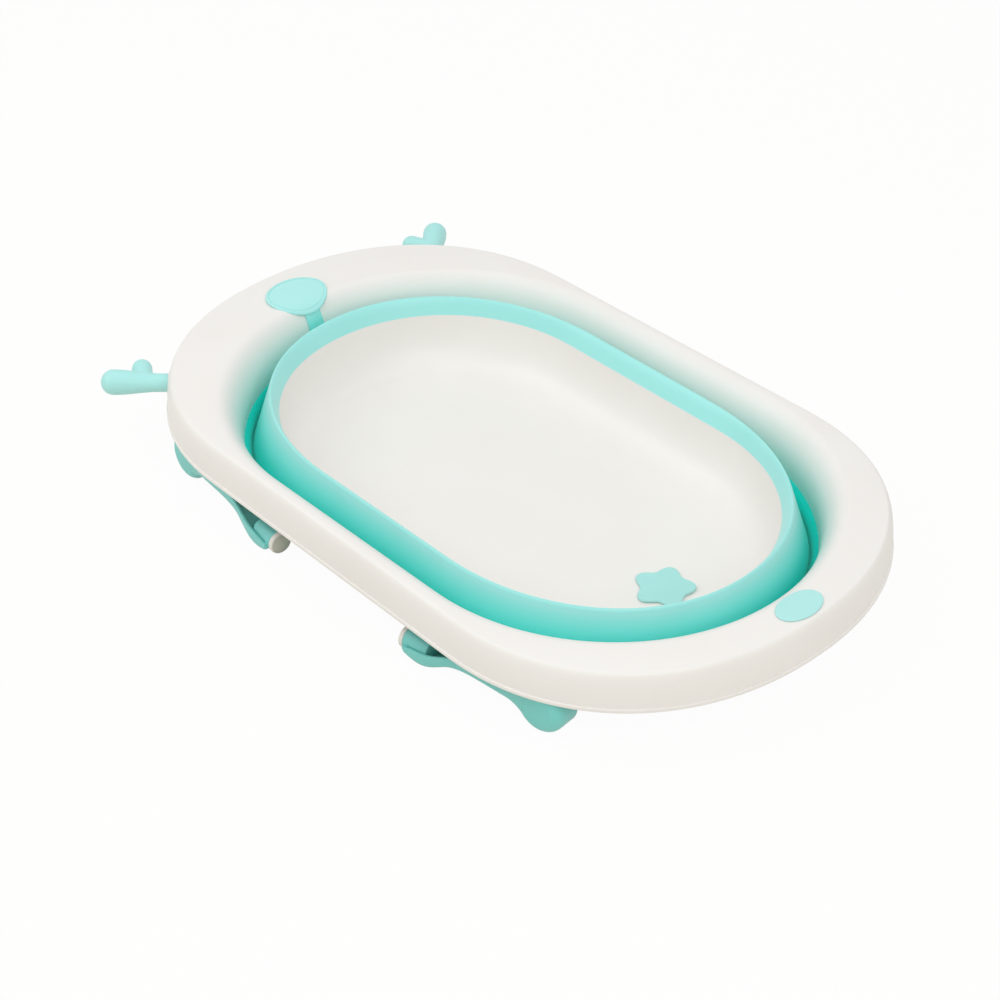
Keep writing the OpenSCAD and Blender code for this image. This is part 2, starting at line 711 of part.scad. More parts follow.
// Foot pad: a soft cap with a rounded edge on a spigot
module foot_pad() {
    color(shell_color)
    translate([pad_at, 0, foot_z])
        rotate([0, 90, 0])
            rotate_extrude($fn = 48)
                polygon(concat(
                    [[0, -pad_reach], [pad_spigot, -pad_reach], [pad_spigot, 0], [foot_radius - 0.5, 0]],
                    [for (a = [0 : 22.5 : 90])
                        [foot_radius - 0.5, pad_thickness] + pad_edge * [cos(a) - 1, sin(a) - 1]],
                    [[0, pad_thickness]]));
}

// Screws that hold the brackets to the bosses in the rim
module bracket_screws() {
    color(steel_color)
    each_leg()
        for (way = [-1, 1])
            translate([way * screw_spread, 0, plate_z - plate_thickness]) {
                cylinder(h = plate_thickness + screw_reach, r = screw_radius, $fn = 24);
                translate([0, 0, -screw_head])
                    cylinder(h = screw_head, r = 2 * screw_radius, $fn = 24);
            }
}

rim_shell();
folding_wall();
crest_band();
base_panel();
drain_plug();
nose_pad();
badge_plate();
antler_left();
antler_right();
antler_screws();
at_leg(-1, 1) leg();  // leg_head_left
at_leg(-1, -1) leg();  // leg_head_right
at_leg(1, 1) leg();  // leg_foot_left
at_leg(1, -1) leg();  // leg_foot_right
at_leg(-1, 1) bracket();  // bracket_head_left
at_leg(-1, -1) bracket();  // bracket_head_right
at_leg(1, 1) bracket();  // bracket_foot_left
at_leg(1, -1) bracket();  // bracket_foot_right
at_leg(-1, 1) pin();  // pin_head_left
at_leg(-1, -1) pin();  // pin_head_right
at_leg(1, 1) pin();  // pin_foot_left
at_leg(1, -1) pin();  // pin_foot_right
at_leg(-1, 1) foot_pad();  // pad_head_left
at_leg(-1, -1) foot_pad();  // pad_head_right
at_leg(1, 1) foot_pad();  // pad_foot_left
at_leg(1, -1) foot_pad();  // pad_foot_right
bracket_screws();
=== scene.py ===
"""Folding baby bathtub, folded flat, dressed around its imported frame. Metres, +Z up, head end at -X."""

import math

import bmesh
import bpy
from mathutils import Matrix, Vector


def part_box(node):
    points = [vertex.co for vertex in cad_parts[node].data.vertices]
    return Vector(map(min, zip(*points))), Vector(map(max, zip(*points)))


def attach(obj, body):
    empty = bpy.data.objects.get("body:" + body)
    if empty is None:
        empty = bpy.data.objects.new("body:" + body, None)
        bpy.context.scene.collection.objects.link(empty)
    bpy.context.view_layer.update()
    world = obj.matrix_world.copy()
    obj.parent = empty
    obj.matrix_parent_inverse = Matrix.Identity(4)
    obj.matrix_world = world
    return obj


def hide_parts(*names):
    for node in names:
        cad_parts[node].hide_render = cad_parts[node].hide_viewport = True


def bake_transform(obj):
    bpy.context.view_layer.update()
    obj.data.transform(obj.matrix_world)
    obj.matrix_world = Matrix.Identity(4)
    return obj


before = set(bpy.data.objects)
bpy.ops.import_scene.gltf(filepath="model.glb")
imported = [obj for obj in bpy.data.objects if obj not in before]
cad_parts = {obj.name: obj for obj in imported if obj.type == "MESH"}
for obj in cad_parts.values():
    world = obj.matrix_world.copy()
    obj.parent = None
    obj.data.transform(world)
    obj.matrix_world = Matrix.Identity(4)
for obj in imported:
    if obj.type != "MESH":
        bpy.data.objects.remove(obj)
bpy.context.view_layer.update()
mm = 0.001


# Camera. It looks down at the tub from beyond the foot end, on the tub's right, with a long lens.
# It aims a little off the tub's middle, at the height of the rim's lip.
view_turn = math.radians(47.13)
view_rise = math.radians(37.1)
view_distance = 2199 * mm
rim_rise = 41 * mm
crown_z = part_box("rim_shell")[1][2]
lip_z = crown_z - rim_rise
view_aim = Vector((38.3 * mm, -53.9 * mm, lip_z))
lens = 79.13
sensor = 36

back = Vector((
    math.sin(view_turn) * math.cos(view_rise),
    -math.cos(view_turn) * math.cos(view_rise),
    math.sin(view_rise),
))
camera = bpy.data.objects.new("camera", bpy.data.cameras.new("camera"))
camera.data.lens = lens
camera.data.sensor_width = sensor
camera.location = view_aim + back * view_distance
camera.rotation_euler = back.to_track_quat("Z", "Y").to_euler()
bpy.context.collection.objects.link(camera)
scene = bpy.context.scene
scene.camera = camera
scene.view_settings.view_transform = "Standard"


# Studio. A white floor in an even white surround, with a wide soft box overhead and one on either side
# of the camera. Seen directly or mirrored, the floor is white with a faint shadow of the tub, and the
# light that it throws back is a little warm.
white = (1, 1, 1, 1)
floor_size = 8
floor_colour = (0.84, 0.785, 0.7, 1)
floor_shadow = 0.04
surround_light = 0.6
overhead_size = 2.4
overhead_place = (-0.3, 0.2, 2.0)
overhead_watts = 8
front_size = 1.4
left_place = (-1.1, -1.35, 1.6)
left_watts = 10.5
right_place = (1.6, -0.75, 1.6)
right_watts = 13


def add_node(tree, kind, settings, inputs):
    """Adds a node, gives it its settings, and sets or links its inputs."""
    node = tree.nodes.new(kind)
    for name, value in settings.items():
        setattr(node, name, value)
    for name, value in inputs.items():
        if isinstance(value, bpy.types.NodeSocket):
            tree.links.new(value, node.inputs[name])
        else:
            node.inputs[name].default_value = value
    return node


def seen_directly(tree):
    """Gives 1 for camera, mirror and glass rays, and 0 for the rays that light the object."""
    rays = add_node(tree, "ShaderNodeLightPath", {}, {})
    seen = rays.outputs["Is Camera Ray"]
    for other in ("Is Glossy Ray", "Is Transmission Ray"):
        either = add_node(tree, "ShaderNodeMath", {"operation": "MAXIMUM"}, {0: seen, 1: rays.outputs[other]})
        seen = either.outputs[0]
    return seen


def add_lamp(name, size, watts, place):
    """Adds a square soft box that faces the tub."""
    lamp = bpy.data.lights.new(name, "AREA")
    lamp.size = size
    lamp.energy = watts
    holder = bpy.data.objects.new(name, lamp)
    holder.location = place
    holder.rotation_euler = Vector(place).to_track_quat("Z", "Y").to_euler()
    bpy.context.collection.objects.link(holder)


floor_mesh = bmesh.new()
bmesh.ops.create_grid(floor_mesh, x_segments=1, y_segments=1, size=floor_size)
floor_data = bpy.data.meshes.new("floor")
floor_mesh.to_mesh(floor_data)
floor_mesh.free()
floor = bpy.data.objects.new("floor", floor_data)
bpy.context.collection.objects.link(floor)

paper = bpy.data.materials.new("studio_paper")
paper.use_nodes = True
tree = paper.node_tree
tree.nodes.clear()
lit = add_node(tree, "ShaderNodeBsdfDiffuse", {}, {"Color": floor_colour})
glow = add_node(tree, "ShaderNodeEmission", {}, {"Color": white, "Strength": 1})
share = add_node(tree, "ShaderNodeMath", {"operation": "MULTIPLY"},
                 {0: seen_directly(tree), 1: 1 - floor_shadow})
mixed = add_node(tree, "ShaderNodeMixShader", {},
                 {0: share.outputs[0], 1: lit.outputs[0], 2: glow.outputs[0]})
add_node(tree, "ShaderNodeOutputMaterial", {}, {"Surface": mixed.outputs[0]})
floor_data.materials.append(paper)

world = bpy.data.worlds.new("studio")
world.use_nodes = True
scene.world = world
tree = world.node_tree
tree.nodes.clear()
level = add_node(tree, "ShaderNodeMath", {"operation": "MULTIPLY_ADD"},
                 {0: seen_directly(tree), 1: 1 - surround_light, 2: surround_light})
surround = add_node(tree, "ShaderNodeBackground", {}, {"Color": white, "Strength": level.outputs[0]})
add_node(tree, "ShaderNodeOutputWorld", {}, {"Surface": surround.outputs[0]})

add_lamp("overhead", overhead_size, overhead_watts, overhead_place)
add_lamp("front_left", front_size, left_watts, left_place)
add_lamp("front_right", front_size, right_watts, right_place)


# Rim shell. One deep injection moulding in off-white polypropylene, open below, with a bead along its
# lip. Oval outlines are carried from the lip over the flat deck and down the roll to the soft wall's hem.
shell_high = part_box("rim_shell")[1]
wall_low, wall_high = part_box("folding_wall")
band_low, band_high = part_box("crest_band")
rim_half_width = 250 * mm
rim_end = 230 * mm
rim_power = 2.15
rim_spread = 4.5 * mm
shoulder_width = 10 * mm
shoulder_power = 2.2
roll_width = 27 * mm
shell_wall = 3 * mm
bead_depth = 1.5 * mm
bead_height = 4 * mm
bead_round = 0.6 * mm
bead_ease = 0.3 * bead_round
bead_step = 0.1 * mm
skin_lift = 1 * mm
skin_z = lip_z + bead_height + skin_lift
soft_wall = 2.5 * mm
hem_rise = 18.5 * mm
hem_z = wall_low[2] + hem_rise
hem_end = 210 * mm
hem_power = 2.03
cuff_share = 0.9
cuff_end = 217.2 * mm
cuff_power = 2.084
band_width = 12 * mm
band_end = 184 * mm
band_power = 2.06
side_width = 36 * mm
end_steps = 36
side_steps = 9
section_steps = 20
round_steps = 64
patch_detail = 3
grain_detail = 2
grain_strength = 0.5
gloss_spread = 0.05


def outline_between(first, second, share):
    """Mixes two outlines: half length, half width, length of the round end, power, shift and spread."""
    return tuple(a + (b - a) * share for a, b in zip(first, second))


def drawn_in(outline, inset):
    """An outline drawn in all round by a distance."""
    return (outline[0] - inset, outline[1] - inset, outline[2] - inset) + outline[3:]


rim_outline = (shell_high[0], rim_half_width, rim_end, rim_power, 0, rim_spread)
hem_outline = (
    (wall_high[0] - wall_low[0]) / 2 - soft_wall, (wall_high[1] - wall_low[1]) / 2 - soft_wall,
    hem_end, hem_power, (wall_high[0] + wall_low[0]) / 2, 0,
)
cuff_outline = (
    (band_high[0] - band_low[0]) / 2, (band_high[1] - band_low[1]) / 2,
    cuff_end, cuff_power, (band_high[0] + band_low[0]) / 2, 0,
)
crest_outline = outline_between(hem_outline, cuff_outline, 1 / cuff_share)
edge_outline = (
    crest_outline[0] - band_width, crest_outline[1] - band_width,
    band_end, band_power, crest_outline[4], 0,
)
outlines = (
    rim_outline, drawn_in(rim_outline, shoulder_width), drawn_in(hem_outline, -roll_width), hem_outline,
    crest_outline, edge_outline, drawn_in(edge_outline, side_width),
)
rim_at, crown_at, roll_at, hem_at, crest_at, edge_at, floor_at = range(len(outlines))


def outline_at(place, inset=0):
    """The outline at a place from 0, the rim, to 6, the floor, drawn in by a distance."""
    step = min(int(place), len(outlines) - 2)
    return drawn_in(outline_between(outlines[step], outlines[step + 1], place - step), inset)


def ring_points(place, inset, z):
    """Points round an outline, from the foot end over the left side and the head end."""
    half_length, half_width, end, power, shift, spread = outline_at(place, inset)
    quarter = []
    for step in range(end_steps):
        turn = math.pi / 2 * step / end_steps
        across = half_length - end + end * math.cos(turn) ** (2 / power)
        quarter.append((across, half_width * math.sin(turn) ** (2 / power)))
    for step in range(side_steps + 1):
        quarter.append(((half_length - end) * (1 - step / side_steps), half_width))
    half = quarter[:-1] + [(-x, y) for x, y in reversed(quarter)][:-1]
    whole = half + [(-x, -y) for x, y in half]
    return [(x + shift, y * (1 + spread / half_width * x / half_length), z) for x, y in whole]


def loft(rings, joined):
    """Extrudes the first ring through the others, then joins the last to it or fills both ends."""
    mesh = bmesh.new()
    corners = [mesh.verts.new(point) for point in rings[0]]
    first = [mesh.edges.new((corners[i - 1], corners[i])) for i in range(len(corners))]
    last = first
    for ring in rings[1:]:
        made = bmesh.ops.extrude_edge_only(mesh, edges=last)["geom"]
        fresh = {item for item in made if isinstance(item, bmesh.types.BMVert)}
        corners = [next(e.other_vert(c) for e in c.link_edges if e.other_vert(c) in fresh) for c in corners]
        for corner, point in zip(corners, ring):
            corner.co = point
        last = [e for e in made if isinstance(e, bmesh.types.BMEdge) and fresh.issuperset(e.verts)]
    if joined:
        bmesh.ops.bridge_loops(mesh, edges=first + last)
    else:
        bmesh.ops.edgeloop_fill(mesh, edges=first)
        bmesh.ops.edgeloop_fill(mesh, edges=last)
    bmesh.ops.recalc_face_normals(mesh, faces=mesh.faces)
    return mesh


def turned(profile, placed, steps=round_steps):
    """Spins a profile of radii and heights about its axis and moves it to its place."""
    mesh = bmesh.new()
    corners = [mesh.verts.new((radius, 0, height)) for radius, height in profile]
    edges = [mesh.edges.new(pair) for pair in zip(corners, corners[1:])]
    bmesh.ops.spin(mesh, geom=corners + edges, axis=(0, 0, 1), cent=(0, 0, 0), angle=2 * math.pi,
                   steps=steps, use_merge=True)
    bmesh.ops.remove_doubles(mesh, verts=mesh.verts, dist=0.001 * mm)
    bmesh.ops.transform(mesh, matrix=placed, verts=mesh.verts)
    bmesh.ops.recalc_face_normals(mesh, faces=mesh.faces)
    return mesh


def together(parts):
    """Puts several meshes into one."""
    whole = bmesh.new()
    for part in parts:
        data = bpy.data.meshes.new("part")
        part.to_mesh(data)
        part.free()
        whole.from_mesh(data)
        bpy.data.meshes.remove(data)
    return whole


def make_piece(name, mesh, material, body, crease=38):
    """Turns a mesh into a piece with its finish, riding on a body if one is named."""
    data = bpy.data.meshes.new(name)
    mesh.to_mesh(data)
    mesh.free()
    data.shade_smooth()
    data.set_sharp_from_angle(angle=math.radians(crease))
    data.materials.append(material)
    piece = bpy.data.objects.new(name, data)
    bpy.context.collection.objects.link(piece)
    if body:
        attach(piece, body)
    return piece


def linear(code):
    """Turns an sRGB hex colour into the linear one that the shaders take."""
    values = [int(code[i:i + 2], 16) / 255 for i in (1, 3, 5)]
    return tuple(v / 12.92 if v <= 0.04045 else ((v + 0.055) / 1.055) ** 2.4 for v in values) + (1,)


def moulded(name, pale, deep, patch_size, grain_size, grain_height, roughness, ior, sheen=0, lowest=None):
    """A moulded polymer with faint flow patches, a fine grain and a soft gloss.

    Where a lowest colour is given, the piece darkens to it by its own depth attribute, as painted shade.
    """
    material = bpy.data.materials.new(name)
    material.use_nodes = True
    tree = material.node_tree
    tree.nodes.clear()
    place = add_node(tree, "ShaderNodeTexCoord", {}, {}).outputs["Object"]
    patches = add_node(tree, "ShaderNodeTexNoise", {},
                       {"Vector": place, "Scale": 1 / patch_size, "Detail": patch_detail})
    colour = add_node(tree, "ShaderNodeMix", {"data_type": "RGBA"},
                      {0: patches.outputs["Fac"], 6: linear(pale), 7: linear(deep)})
    # Painted shade: the colour is mixed towards the lowest colour by the piece's depth attribute.
    if lowest:
        depth = add_node(tree, "ShaderNodeAttribute", {"attribute_name": "depth"}, {})
        colour = add_node(tree, "ShaderNodeMix", {"data_type": "RGBA"},
                          {0: depth.outputs["Fac"], 6: colour.outputs[2], 7: linear(lowest)})
    gloss = add_node(tree, "ShaderNodeMapRange", {}, {
        "Value": patches.outputs["Fac"],
        "To Min": roughness - gloss_spread, "To Max": roughness + gloss_spread})
    grain = add_node(tree, "ShaderNodeTexNoise", {},
                     {"Vector": place, "Scale": 1 / grain_size, "Detail": grain_detail})
    bump = add_node(tree, "ShaderNodeBump", {}, {
        "Height": grain.outputs["Fac"], "Distance": grain_height, "Strength": grain_strength})
    surface = add_node(tree, "ShaderNodeBsdfPrincipled", {}, {
        "Base Color": colour.outputs[2], "Roughness": gloss.outputs[0], "IOR": ior,
        "Normal": bump.outputs[0], "Sheen Weight": sheen})
    add_node(tree, "ShaderNodeOutputMaterial", {}, {"Surface": surface.outputs[0]})
    return material


def shell_path(depth):
    """The shell's section from above the bead over the deck to the hem, set in by a depth."""
    path = []
    for step in range(section_steps + 1):
        angle = math.pi / 2 * step / section_steps
        across = 1 - math.cos(angle) ** (2 / shoulder_power)
        rise = math.sin(angle) ** (2 / shoulder_power)
        inset = bead_depth * (1 - across) + depth * math.cos(angle)
        z = skin_z + (crown_z - skin_z) * rise
        path.append((rim_at + across, inset, z - depth * math.sin(angle)))
    for step in range(section_steps + 1):
        angle = math.pi / 2 * step / section_steps
        z = hem_z + (crown_z - hem_z) * math.cos(angle)
        path.append((roll_at + math.sin(angle), -depth * math.sin(angle), z - depth * math.cos(angle)))
    return path


# Satin polypropylene scatters light evenly and shows a soft, wide gloss. The grain is drawn at 1.2 mm,
# coarser than the real tool texture, so that it shows at this distance.
shell_finish = moulded("satin_polypropylene", "#F2F0EC", "#EDEAE5", patch_size=90 * mm, grain_size=1.2 * mm,
                       grain_height=0.02 * mm, roughness=0.42, ior=1.49)
bead_top = lip_z + bead_height
bead = [
    (rim_at, bead_round, lip_z), (rim_at, bead_ease, lip_z + bead_ease),
    (rim_at, 0, lip_z + bead_round), (rim_at, 0, bead_top - bead_round),
    (rim_at, bead_ease, bead_top - bead_ease), (rim_at, bead_round, bead_top),
    (rim_at, bead_depth, bead_top + bead_step),
]
lip_inside = bead_depth + shell_wall
inner_lip = [(rim_at, lip_inside, lip_z + bead_round), (rim_at, lip_inside - bead_round, lip_z)]
shell_section = bead + shell_path(0) + shell_path(shell_wall)[::-1] + inner_lip
shell_rings = [ring_points(*point) for point in shell_section]
rim = make_piece("rim", loft(shell_rings, True), shell_finish, "frame")
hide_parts("rim_shell")


# Ribs, bosses and sockets. Moulded in one with the shell, on its underside, where they stiffen the deck
# and take the bracket screws and the antlers. The ribs reach up into the shell's wall.
rib_depth = 14 * mm
rib_thickness = 2.5 * mm
rib_steps = 24
rib_places = (6, 15, 24, 33, 42)
halvings = 24
skin_overlap = 1.5 * mm
hinge_ways = {"head": (-1, 258 * mm), "foot": (1, 270.5 * mm)}
side_ways = {"left": 1, "right": -1}
hinge_side = 216 * mm
leg_angle = math.radians(6)
plate_drop = 21 * mm
plate_z = crown_z - plate_drop
screw_spread = 13 * mm
boss_radius = 5 * mm
boss_bore = 2.2 * mm
boss_steps = 32
antler_turn = math.radians(48)
antler_angle = math.radians(46)
antler_rise = 16 * mm
antler_root = 10 * mm
antler_fit = 0.25 * mm
socket_length = 20 * mm
socket_wall = 3 * mm
socket_setback = 2.5 * mm


def is_outside(outline, x, y):
    """Tells whether a point seen from above lies outside an outline."""
    half_length, half_width, end, power, shift, spread = outline
    across = max(0, abs(x - shift) - half_length + end) / end
    aside = abs(y) / half_width / (1 + spread / half_width * (x - shift) / half_length)
    return across ** power + aside ** power > 1


def rim_height(x, y):
    """Height of the shell's upper side at a point seen from above."""
    low, high = rim_at, hem_at
    for halving in range(halvings):
        place = (low + high) / 2
        if is_outside(outline_at(place), x, y):
            high = place
        else:
            low = place
    if place < crown_at:
        rise = (1 - (1 - place) ** shoulder_power) ** (1 / shoulder_power)
        return skin_z + (crown_z - skin_z) * rise
    if place < roll_at:
        return crown_z
    return hem_z + (crown_z - hem_z) * math.sqrt(max(0, 1 - (place - roll_at) ** 2))


def make_rib(outer, inner):
    """One rib across the shell: its top edge follows the shell, its lower edge is level."""
    foot = crown_z - rib_depth
    step_aside = (Vector(inner) - Vector(outer)).normalized() * skin_overlap
    top = []
    for step in range(rib_steps + 1):
        spot = Vector(outer).lerp(Vector(inner), step / rib_steps)
        height = min(rim_height(*(spot + way * step_aside)[:2]) for way in (-1, 0, 1)) - skin_overlap
        if height > foot + rib_thickness:
            top.append((spot[0], spot[1], height))
    mesh = bmesh.new()
    corners = [mesh.verts.new(point) for point in top]
    edges = [mesh.edges.new(pair) for pair in zip(corners, corners[1:])]
    for item in bmesh.ops.extrude_edge_only(mesh, edges=edges)["geom"]:
        if isinstance(item, bmesh.types.BMVert):
            item.co.z = foot
    bmesh.ops.solidify(mesh, geom=mesh.faces[:], thickness=rib_thickness)
    bmesh.ops.recalc_face_normals(mesh, faces=mesh.faces)
    return mesh


def corner_frame(end_name, side_name):
    """Moves a leg drawn from its hinge along +X, with +Y outwards, to one of the four corners."""
    end, hinge = hinge_ways[end_name]
    side = side_ways[side_name]
    flip = Matrix.Diagonal((end, -side, 1, 1))
    place = Matrix.Translation((hinge, -hinge_side, 0))
    return flip @ place @ Matrix.Rotation(math.pi + leg_angle, 4, "Z")


def antler_frame(side):
    """Moves an antler drawn along +Z from the shell's skin to its place on one side."""
    half_length, half_width, end, power, shift, spread = rim_outline
    x = end - half_length - end * math.cos(antler_turn) ** (2 / power)
    y = half_width * math.sin(antler_turn) ** (2 / power) * (1 + spread / half_width * x / half_length)
    place = Matrix.Translation((x, side * y, lip_z + antler_rise))
    turn = Matrix.Rotation(side * (math.pi - antler_angle), 4, "Z")
    return place @ turn @ Matrix.Rotation(math.pi / 2, 4, "Y")


def boss_profile(top):
    """Section of a screw boss: a tube whose upper end sits in the shell."""
    return [
        (boss_bore, plate_z), (boss_radius, plate_z), (boss_radius, top), (boss_bore, top),
        (boss_bore, plate_z),
    ]


corners = [(end_name, side_name) for end_name in hinge_ways for side_name in side_ways]
under = []
rim_ring = ring_points(rim_at, 0, lip_z)
hem_ring = ring_points(hem_at, 0, lip_z)
half_ring = len(rim_ring) // 2
for place in rib_places:
    for corner in (place, half_ring - place, half_ring + place, -place):
        under.append(make_rib(rim_ring[corner], hem_ring[corner]))
for corner in corners:
    for way in (-1, 1):
        x, y, z = corner_frame(*corner) @ Vector((way * screw_spread, 0, 0))
        asides = (-boss_radius, boss_radius)
        lowest = min(rim_height(x + dx, y + dy) for dx in asides for dy in asides)
        boss = boss_profile(lowest - skin_overlap)
        under.append(turned(boss, Matrix.Translation((x, y, 0)), boss_steps))
socket_bore = antler_root + antler_fit
socket_radius = antler_root + socket_wall
socket_section = [
    (socket_bore, -socket_length), (socket_radius, -socket_length), (socket_radius, -socket_setback),
    (socket_bore, -socket_setback), (socket_bore, -socket_length),
]
for side in side_ways.values():
    under.append(turned(socket_section, antler_frame(side)))
underside = make_piece("rim_underside", together(under), shell_finish, "frame")
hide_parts("rim_shell")


# Soft wall. Mint thermoplastic elastomer, moulded onto the rim's hem and the base's edge, folded once.
# The outer half hangs from the rim, and the inner half turns over as the base drops.
fold_z = wall_low[2] + soft_wall
fold_rise = 5 * mm
fold_share = 0.25
fold_at = hem_at + fold_share
fold_half = 0.03
fold_steps = 12
tier_steps = 12
outer_bow = 0.2
cuff_at = hem_at + cuff_share
cuff_z = wall_high[2]
# Strength and curve of the painted shade down the soft wall.
wall_shade_strength = 1.08
shade_power = 0.75
gap_width = hem_outline[1] - crest_outline[1]

# A soft-touch elastomer has a powdery bloom at its edges. Its colour is painted darker and more saturated
# further down from the crest, as painted shade for the fold. The grain is drawn coarser than it is, at 0.9
# mm.
soft_finish = moulded("mint_elastomer", "#A5ECE8", "#9DE7E2", patch_size=70 * mm, grain_size=0.9 * mm,
                      grain_height=0.02 * mm, roughness=0.44, ior=1.5, sheen=0.1, lowest="#06E4D7")


def paint_shade_below_cuff(piece, strength):
    """Stores painted shade for each point of a soft piece, from 0 at the cuff to 1 far down."""
    depth = piece.data.attributes.new("depth", "FLOAT", "POINT")
    for spot, corner in zip(depth.data, piece.data.vertices):
        drop = max(0, (cuff_z - corner.co.z) / (cuff_z - hem_z))
        spot.value = min(1, strength * drop ** shade_power)


def tier(start, end, bow):
    """Points of one side of the fold, bowed a little, from one place and height to another."""
    points = []
    for step in range(tier_steps + 1):
        share = step / tier_steps
        place = start[0] + (end[0] - start[0]) * (share + bow * math.sin(math.pi * share))
        points.append((place, start[1] + (end[1] - start[1]) * share))
    return points


def turn_points(first, last):
    """Points round the bottom of the fold, between two angles in degrees."""
    points = []
    for step in range(fold_steps + 1):
        angle = math.radians(first + (last - first) * step / fold_steps)
        z = fold_z + fold_rise * (1 - math.sin(angle))
        points.append((fold_at - fold_half * math.cos(angle), z))
    return points


def across_wall(place):
    """How far in from the hem a place of the soft wall or the band lies."""
    if place < crest_at:
        return (place - hem_at) * gap_width
    return gap_width + (place - crest_at) * band_width


def sheet_section(path):
    """Gives a path of places and heights the thickness of the soft wall, on its far side."""
    near = [(place, 0, z) for place, z in path]
    far = []
    for i, (place, z) in enumerate(path):
        before = path[max(i - 1, 0)]
        after = path[min(i + 1, len(path) - 1)]
        run = Vector((across_wall(after[0]) - across_wall(before[0]), after[1] - before[1])).normalized()
        far.append((place, run[1] * soft_wall, z - run[0] * soft_wall))
    return near + far[::-1]


fold_top = fold_z + fold_rise
outer_path = tier((hem_at, hem_z), (fold_at - fold_half, fold_top), outer_bow) + turn_points(0, 90)[1:]
inner_path = turn_points(90, 180) + tier((fold_at + fold_half, fold_top), (cuff_at, cuff_z), 0)[1:]
outer_rings = [ring_points(*point) for point in sheet_section(outer_path)]
inner_rings = [ring_points(*point) for point in sheet_section(inner_path)]
wall_outer = make_piece("wall_outer", loft(outer_rings, True), soft_finish, "frame")
wall_inner = make_piece("wall_inner", loft(inner_rings, True), soft_finish, None)
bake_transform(wall_inner)
# The wall is painted darker towards the fold, as painted shade.
paint_shade_below_cuff(wall_outer, wall_shade_strength)
paint_shade_below_cuff(wall_inner, wall_shade_strength)
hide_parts("folding_wall")
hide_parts("folding_wall")


# Crest band. The same elastomer, carried over the base's upper edge and down its inside to a neat line.
# It is moulded over the base, so that its lower edge lies flush with the dish.
crest_z = band_high[2]
band_height = 18.5 * mm
edge_z = crest_z - band_height
band_steps = 5


def smooth_path(points, steps):
    """Points on a smooth curve through a few points."""
    path = []
    for i in range(len(points) - 1):
        a = Vector(points[max(i - 1, 0)])
        b = Vector(points[i])
        c = Vector(points[i + 1])
        d = Vector(points[min(i + 2, len(points) - 1)])
        for step in range(steps):
            t = step / steps
            pull = (c - a) * t + (2 * a - 5 * b + 4 * c - d) * t * t
            pull += (3 * b - a - 3 * c + d) * t * t * t
            path.append(tuple(b + pull / 2))
    return path + [tuple(points[-1])]


# The band's upper side, as places across the wall and heights.
band_points = [
    (cuff_at, cuff_z), (cuff_at + 0.04, crest_z - 2.6 * mm), (cuff_at + 0.08, crest_z - 0.8 * mm),
    (crest_at + 0.04, crest_z), (crest_at + 0.25, crest_z - 1.9 * mm),
    (crest_at + 0.5, crest_z - 6.1 * mm), (crest_at + 0.75, crest_z - 12.2 * mm), (edge_at, edge_z),
]
band_path = smooth_path(band_points, band_steps)
band_section = sheet_section(band_path)
band_rings = [ring_points(*point) for point in band_section]
band = make_piece("band", loft(band_rings, True), soft_finish, "base")
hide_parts("crest_band")


# Base panel. A deep dish in the same polypropylene as the rim, with a drain hole in its floor and a
# collar under it. Its upper edge is a flange that the band wraps.
base_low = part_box("base_panel")[0]
plug_low, plug_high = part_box("drain_plug")
base_wall = 3 * mm
collar_depth = 3 * mm
collar_wall = 4 * mm
collar_edge = 0.5 * mm
floor_z = base_low[2] + collar_depth + base_wall
drain_radius = 15 * mm
drain_place = Vector((216 * mm, 0, 0))
dish_steps = 24
dish_power = 2.5


def dish_path(depth):
    """The dish's section from the band's edge to the floor, set out by a depth."""
    path = []
    for step in range(dish_steps + 1):
        angle = math.pi / 2 * step / dish_steps
        place = floor_at - math.cos(angle) ** (2 / dish_power)
        drop = math.sin(angle) ** (2 / dish_power)
        z = edge_z + (floor_z - edge_z) * drop
        path.append((place, -depth * math.cos(angle), z - depth * math.sin(angle)))
    return path


def drain_ring(radius, z):
    """A circle round the drain, with one point towards each point of the floor's outline."""
    points = []
    for x, y, height in ring_points(floor_at, 0, floor_z):
        way = (Vector((x, y, 0)) - drain_place).normalized()
        points.append(tuple(drain_place + way * radius + Vector((0, 0, z))))
    return points


collar_radius = drain_radius + collar_wall
collar_z = base_low[2]
dish_rings = [
    drain_ring(drain_radius, collar_z + collar_edge), drain_ring(drain_radius + collar_edge, collar_z),
    drain_ring(collar_radius - collar_edge, collar_z), drain_ring(collar_radius, collar_z + collar_edge),
    drain_ring(collar_radius, floor_z - base_wall),
]
dish_section = dish_path(base_wall)[:0:-1]
dish_section += [(edge_at, -base_wall, edge_z - base_wall), (cuff_at, soft_wall, cuff_z - base_wall)]
dish_section += band_section[len(band_path):][::-1] + dish_path(0)
dish_rings += [ring_points(*point) for point in dish_section]
dish_rings += [
    drain_ring(drain_radius + collar_edge, floor_z), drain_ring(drain_radius, floor_z - collar_edge),
]
base = make_piece("base", loft(dish_rings, True), shell_finish, "base")
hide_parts("base_panel")


# Drain plug. A star in the same elastomer as the wall, with soft edges and a shallow dished top, on a
# round spigot that is pressed into the drain hole.
star_points = 31.5 * mm
star_valleys = 23.5 * mm
star_height = plug_high[2] - floor_z
star_turn = math.radians(48)
star_arms = 5
star_steps = 200
plug_clearance = 0.3 * mm
spigot_radius = drain_radius - plug_clearance
spigot_edge = 1 * mm

# The plug is the wall's elastomer in a thicker moulding, which looks a little paler and as matt.
plug_finish = moulded("pale_mint_elastomer", "#A9E5E1", "#A1DFDA", patch_size=40 * mm, grain_size=0.9 * mm,
                      grain_height=0.02 * mm, roughness=0.44, ior=1.5, sheen=0.1)


